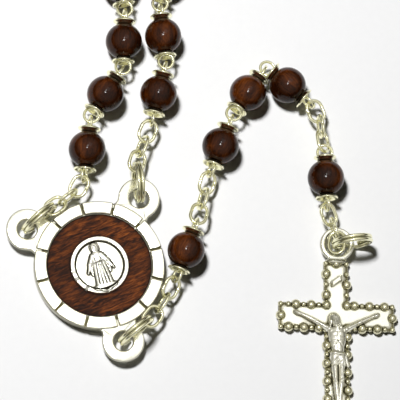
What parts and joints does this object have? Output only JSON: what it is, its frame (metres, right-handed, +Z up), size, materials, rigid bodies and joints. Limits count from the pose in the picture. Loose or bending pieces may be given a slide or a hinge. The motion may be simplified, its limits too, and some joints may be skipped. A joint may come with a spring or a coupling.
{
  "type": "rosary",
  "caption": "Wooden-bead rosary with silver chain, round centre medal with a blank veiled figure, and a bordered crucifix, laid flat with its loop coiled.",
  "frame": {"origin": "on the table under the centre of the round centre medal", "axes": "+Z up off the table; the medal's figure stands towards 106 degrees from +X, the coiled loop lies towards +Y and the pendant and crucifix towards +X"},
  "size_m": [0.0931, 0.1784, 0.0069],
  "materials": {
    "silver": "polished silver plate with dark patina in the recesses",
    "bead_wood": "very dark brown stained wood under gloss lacquer",
    "inlay_wood": "reddish-brown satin wood with dark streaks"
  },
  "bodies": {
    "medal": {"medal_frame": "silver", "medal_wood_inlay": "inlay_wood", "medallion": "silver"},
    "right_ring": {"right_ring": "silver"},
    "left_ring": {"left_ring": "silver"},
    "lower_ring": {"lower_ring": "silver"},
    "pendant_link_1": {"pendant_link_1": "silver"},
    "pendant_link_2": {"pendant_link_2": "silver"},
    "pendant_link_3": {"pendant_link_3": "silver"},
    "our_father_1_pin": {"our_father_1_pin": "silver"},
    "our_father_1_bead": {"our_father_1_bead": "bead_wood"},
    "pendant_link_4": {"pendant_link_4": "silver"},
    "pendant_link_5": {"pendant_link_5": "silver"},
    "pendant_link_6": {"pendant_link_6": "silver"},
    "hail_mary_1_pin": {"hail_mary_1_pin": "silver"},
    "hail_mary_1_bead": {"hail_mary_1_bead": "bead_wood"},
    "hail_mary_2_pin": {"hail_mary_2_pin": "silver"},
    "hail_mary_2_bead": {"hail_mary_2_bead": "bead_wood"},
    "hail_mary_3_pin": {"hail_mary_3_pin": "silver"},
    "hail_mary_3_bead": {"hail_mary_3_bead": "bead_wood"},
    "pendant_link_7": {"pendant_link_7": "silver"},
    "pendant_link_8": {"pendant_link_8": "silver"},
    "pendant_link_9": {"pendant_link_9": "silver"},
    "our_father_2_pin": {"our_father_2_pin": "silver"},
    "our_father_2_bead": {"our_father_2_bead": "bead_wood"},
    "pendant_link_10": {"pendant_link_10": "silver"},
    "pendant_link_11": {"pendant_link_11": "silver"},
    "pendant_link_12": {"pendant_link_12": "silver"},
    "crucifix_ring": {"crucifix_ring": "silver"},
    "crucifix": {"crucifix_cross": "silver", "corpus": "silver"},
    "right_link_1": {"right_link_1": "silver"},
    "right_link_2": {"right_link_2": "silver"},
    "right_link_3": {"right_link_3": "silver"},
    "right_hail_mary_1_pin": {"right_hail_mary_1_pin": "silver"},
    "right_hail_mary_1_bead": {"right_hail_mary_1_bead": "bead_wood"},
    "right_stretch_1": {"right_stretch_1_beads": "bead_wood", "right_stretch_1_chain": "silver"},
    "right_stretch_2": {"right_stretch_2_beads": "bead_wood", "right_stretch_2_chain": "silver"},
    "right_stretch_3": {"right_stretch_3_beads": "bead_wood", "right_stretch_3_chain": "silver"},
    "right_stretch_4": {"right_stretch_4_beads": "bead_wood", "right_stretch_4_chain": "silver"},
    "right_stretch_5": {"right_stretch_5_beads": "bead_wood", "right_stretch_5_chain": "silver"},
    "left_link_1": {"left_link_1": "silver"},
    "left_link_2": {"left_link_2": "silver"},
    "left_link_3": {"left_link_3": "silver"},
    "left_hail_mary_1_pin": {"left_hail_mary_1_pin": "silver"},
    "left_hail_mary_1_bead": {"left_hail_mary_1_bead": "bead_wood"},
    "left_stretch_1": {"left_stretch_1_beads": "bead_wood", "left_stretch_1_chain": "silver"},
    "left_stretch_2": {"left_stretch_2_beads": "bead_wood", "left_stretch_2_chain": "silver"},
    "left_stretch_3": {"left_stretch_3_beads": "bead_wood", "left_stretch_3_chain": "silver"},
    "left_stretch_4": {"left_stretch_4_beads": "bead_wood", "left_stretch_4_chain": "silver"}
  },
  "joints": [
    {"name": "right_ring_swing", "type": "hinge", "parent": "medal", "child": "right_ring", "pos_m": [0.00643, 0.01352, 0.0018], "axis": [0.9962, 0.0872, 0], "range_deg": [-50, 20]},
    {"name": "left_ring_swing", "type": "hinge", "parent": "medal", "child": "left_ring", "pos_m": [-0.0096, 0.00745, 0.0018], "axis": [0.6428, -0.766, 0], "range_deg": [0, 20]},
    {"name": "lower_ring_swing", "type": "hinge", "parent": "medal", "child": "lower_ring", "pos_m": [0.00551, -0.01088, 0.0018], "axis": [-0.6157, 0.788, 0], "range_deg": [-20, 0]},
    {"name": "pendant_link_1_swing", "type": "hinge", "parent": "lower_ring", "child": "pendant_link_1", "pos_m": [0.00775, -0.00912, 0.0026], "axis": [0, 0, 1], "range_deg": [-50, 0]},
    {"name": "pendant_link_2_swing", "type": "hinge", "parent": "pendant_link_1", "child": "pendant_link_2", "pos_m": [0.00943, -0.00712, 0.00247], "axis": [-0.7539, 0.6421, 0.139], "range_deg": [-45, 10]},
    {"name": "pendant_link_3_swing", "type": "hinge", "parent": "pendant_link_2", "child": "pendant_link_3", "pos_m": [0.01092, -0.00474, 0.00252], "axis": [-0.2106, 0.1514, -0.9658], "range_deg": [-4, 50]},
    {"name": "our_father_1_swing", "type": "hinge", "parent": "pendant_link_3", "child": "our_father_1_pin", "pos_m": [0.01218, -0.00227, 0.00286], "axis": [-0.7993, 0.3389, 0.4963], "range_deg": [-50, 12]},
    {"name": "our_father_1_spin", "type": "hinge", "parent": "our_father_1_pin", "child": "our_father_1_bead", "pos_m": [0.01392, 0.00226, 0.00303], "axis": [0.3581, 0.933, 0.0349], "continuous": true},
    {"name": "pendant_link_4_swing", "type": "hinge", "parent": "our_father_1_pin", "child": "pendant_link_4", "pos_m": [0.0159, 0.00744, 0.00322], "axis": [-0.0689, 0.0637, -0.9956], "range_deg": [-15, 45]},
    {"name": "pendant_link_5_swing", "type": "hinge", "parent": "pendant_link_4", "child": "pendant_link_5", "pos_m": [0.01674, 0.01002, 0.00254], "axis": [0.9409, -0.3279, -0.0846], "range_deg": [-45, 45]},
    {"name": "pendant_link_6_swing", "type": "hinge", "parent": "pendant_link_5", "child": "pendant_link_6", "pos_m": [0.01751, 0.01271, 0.00235], "axis": [0.3468, -0.0313, 0.9374], "range_deg": [-50, 30]},
    {"name": "hail_mary_1_swing", "type": "hinge", "parent": "pendant_link_6", "child": "hail_mary_1_pin", "pos_m": [0.0183, 0.01529, 0.00287], "axis": [-0.8903, 0.1879, 0.4149], "range_deg": [-45, 45]},
    {"name": "hail_mary_1_spin", "type": "hinge", "parent": "hail_mary_1_pin", "child": "hail_mary_1_bead", "pos_m": [0.0201, 0.01973, 0.00304], "axis": [0.3744, 0.9266, 0.0349], "continuous": true},
    {"name": "hail_mary_2_swing", "type": "hinge", "parent": "hail_mary_1_pin", "child": "hail_mary_2_pin", "pos_m": [0.02218, 0.02488, 0.00323], "axis": [0.0193, -0.0454, 0.9988], "range_deg": [-24, 50]},
    {"name": "hail_mary_2_spin", "type": "hinge", "parent": "hail_mary_2_pin", "child": "hail_mary_2_bead", "pos_m": [0.02493, 0.02881, 0.00307], "axis": [0.5732, 0.8187, -0.0349], "continuous": true},
    {"name": "hail_mary_3_swing", "type": "hinge", "parent": "hail_mary_2_pin", "child": "hail_mary_3_pin", "pos_m": [0.02811, 0.03335, 0.00287], "axis": [-0.02, -0.0286, -0.9994], "range_deg": [-50, 0]},
    {"name": "hail_mary_3_spin", "type": "hinge", "parent": "hail_mary_3_pin", "child": "hail_mary_3_bead", "pos_m": [0.03166, 0.03027, 0.00287], "axis": [0.7547, -0.6561, 0], "continuous": true},
    {"name": "pendant_link_7_swing", "type": "hinge", "parent": "hail_mary_3_pin", "child": "pendant_link_7", "pos_m": [0.03585, 0.02663, 0.00287], "axis": [-0.1139, -0.1311, -0.9848], "range_deg": [-50, 20]},
    {"name": "pendant_link_8_swing", "type": "hinge", "parent": "pendant_link_7", "child": "pendant_link_8", "pos_m": [0.03685, 0.02426, 0.00251], "axis": [-0.9123, -0.4004, 0.0863], "range_deg": [-45, 45]},
    {"name": "pendant_link_9_swing", "type": "hinge", "parent": "pendant_link_8", "child": "pendant_link_9", "pos_m": [0.03708, 0.02162, 0.0026], "axis": [-0.0838, -0.0422, -0.9956], "range_deg": [-30, 24]},
    {"name": "our_father_2_swing", "type": "hinge", "parent": "pendant_link_9", "child": "our_father_2_pin", "pos_m": [0.03735, 0.01905, 0.00287], "axis": [0.7689, 0.0133, -0.6393], "range_deg": [-45, 45]},
    {"name": "our_father_2_spin", "type": "hinge", "parent": "our_father_2_pin", "child": "our_father_2_bead", "pos_m": [0.03735, 0.01455, 0.00287], "axis": [0, -1, 0], "continuous": true},
    {"name": "pendant_link_10_swing", "type": "hinge", "parent": "our_father_2_pin", "child": "pendant_link_10", "pos_m": [0.03735, 0.009, 0.00287], "axis": [0.1736, 0, 0.9848], "range_deg": [-45, 50]},
    {"name": "pendant_link_11_swing", "type": "hinge", "parent": "pendant_link_10", "child": "pendant_link_11", "pos_m": [0.03827, 0.00684, 0.00216], "axis": [-0.8332, -0.4571, 0.3113], "range_deg": [-45, 45]},
    {"name": "pendant_link_12_swing", "type": "hinge", "parent": "pendant_link_11", "child": "pendant_link_12", "pos_m": [0.03884, 0.00436, 0.00225], "axis": [0.0079, -0.034, -0.9994], "range_deg": [-40, 28]},
    {"name": "crucifix_ring_swing", "type": "hinge", "parent": "pendant_link_12", "child": "crucifix_ring", "pos_m": [0.03849, 0.00338, 0.0018], "axis": [0, 0, -1], "range_deg": [-30, 20]},
    {"name": "crucifix_swing", "type": "hinge", "parent": "crucifix_ring", "child": "crucifix", "pos_m": [0.03849, 0.00338, 0.0018], "axis": [0, 0, 1], "range_deg": [-25, 30]},
    {"name": "right_link_1_swing", "type": "hinge", "parent": "right_ring", "child": "right_link_1", "pos_m": [0.00588, 0.01543, 0.00267], "axis": [0.8863, -0.3131, -0.3412], "range_deg": [-5, 25]},
    {"name": "right_link_2_swing", "type": "hinge", "parent": "right_link_1", "child": "right_link_2", "pos_m": [0.00699, 0.01885, 0.00242], "axis": [-0.8863, 0.3131, 0.3412], "range_deg": [-45, 45]},
    {"name": "right_link_3_swing", "type": "hinge", "parent": "right_link_2", "child": "right_link_3", "pos_m": [0.00761, 0.02055, 0.0023], "axis": [-0.916, 0.3625, 0.172], "range_deg": [-45, 45]},
    {"name": "right_hail_mary_1_swing", "type": "hinge", "parent": "right_link_3", "child": "right_hail_mary_1_pin", "pos_m": [0.009, 0.02383, 0.0028], "axis": [0.916, -0.3625, -0.172], "range_deg": [-45, 45]},
    {"name": "right_hail_mary_1_spin", "type": "hinge", "parent": "right_hail_mary_1_pin", "child": "right_hail_mary_1_bead", "pos_m": [0.01016, 0.02848, 0.00296], "axis": [0.2418, 0.9697, 0.0349], "continuous": true},
    {"name": "right_stretch_1_swing", "type": "hinge", "parent": "right_hail_mary_1_pin", "child": "right_stretch_1", "pos_m": [0.01158, 0.03282, 0.00318], "axis": [-0.9976, -0.0698, 0], "range_deg": [-35, 35]},
    {"name": "right_stretch_2_swing", "type": "hinge", "parent": "right_stretch_1", "child": "right_stretch_2", "pos_m": [0.03087, 0.07381, 0.00298], "axis": [0.8213, -0.5705, 0], "range_deg": [-35, 35]},
    {"name": "right_stretch_3_swing", "type": "hinge", "parent": "right_stretch_2", "child": "right_stretch_3", "pos_m": [0.0339, 0.12771, 0.00298], "axis": [0.7713, 0.6364, 0], "range_deg": [-35, 35]},
    {"name": "right_stretch_4_swing", "type": "hinge", "parent": "right_stretch_3", "child": "right_stretch_4", "pos_m": [-0.0181, 0.14079, 0.00298], "axis": [0.5553, -0.8316, 0], "range_deg": [-35, 35]},
    {"name": "right_stretch_5_swing", "type": "hinge", "parent": "right_stretch_4", "child": "right_stretch_5", "pos_m": [-0.03615, 0.08278, 0.00298], "axis": [0.6825, 0.7309, 0], "range_deg": [-35, 35]},
    {"name": "left_link_1_swing", "type": "hinge", "parent": "left_ring", "child": "left_link_1", "pos_m": [-0.00841, 0.00856, 0.00269], "axis": [0.5824, -0.7708, 0.2582], "range_deg": [-3, 30]},
    {"name": "left_link_2_swing", "type": "hinge", "parent": "left_link_1", "child": "left_link_2", "pos_m": [-0.0055, 0.01067, 0.00244], "axis": [-0.5824, 0.7708, -0.2582], "range_deg": [-45, 45]},
    {"name": "left_link_3_swing", "type": "hinge", "parent": "left_link_2", "child": "left_link_3", "pos_m": [-0.00393, 0.01133, 0.0023], "axis": [0.8582, -0.4837, 0.172], "range_deg": [-45, 45]},
    {"name": "left_hail_mary_1_swing", "type": "hinge", "parent": "left_link_3", "child": "left_hail_mary_1_pin", "pos_m": [-0.00226, 0.01448, 0.0028], "axis": [0.8582, -0.4837, 0.172], "range_deg": [-45, 45]},
    {"name": "left_hail_mary_1_spin", "type": "hinge", "parent": "left_hail_mary_1_pin", "child": "left_hail_mary_1_bead", "pos_m": [-0.0017, 0.01899, 0.00296], "axis": [0.1218, 0.9919, 0.0349], "continuous": true},
    {"name": "left_stretch_1_swing", "type": "hinge", "parent": "left_hail_mary_1_pin", "child": "left_stretch_1", "pos_m": [-0.00157, 0.02366, 0.00317], "axis": [0.8387, -0.5446, 0], "range_deg": [-35, 35]},
    {"name": "left_stretch_2_swing", "type": "hinge", "parent": "left_stretch_1", "child": "left_stretch_2", "pos_m": [0.02509, 0.08192, 0.00298], "axis": [-0.8769, 0.4806, 0], "range_deg": [-35, 35]},
    {"name": "left_stretch_3_swing", "type": "hinge", "parent": "left_stretch_2", "child": "left_stretch_3", "pos_m": [-0.00207, 0.13669, 0.00298], "axis": [-0.2144, 0.9767, 0], "range_deg": [-35, 35]},
    {"name": "left_stretch_4_swing", "type": "hinge", "parent": "left_stretch_3", "child": "left_stretch_4", "pos_m": [-0.02571, 0.08747, 0.00298], "axis": [0.1286, 0.9917, 0], "range_deg": [-35, 35]}
  ]
}
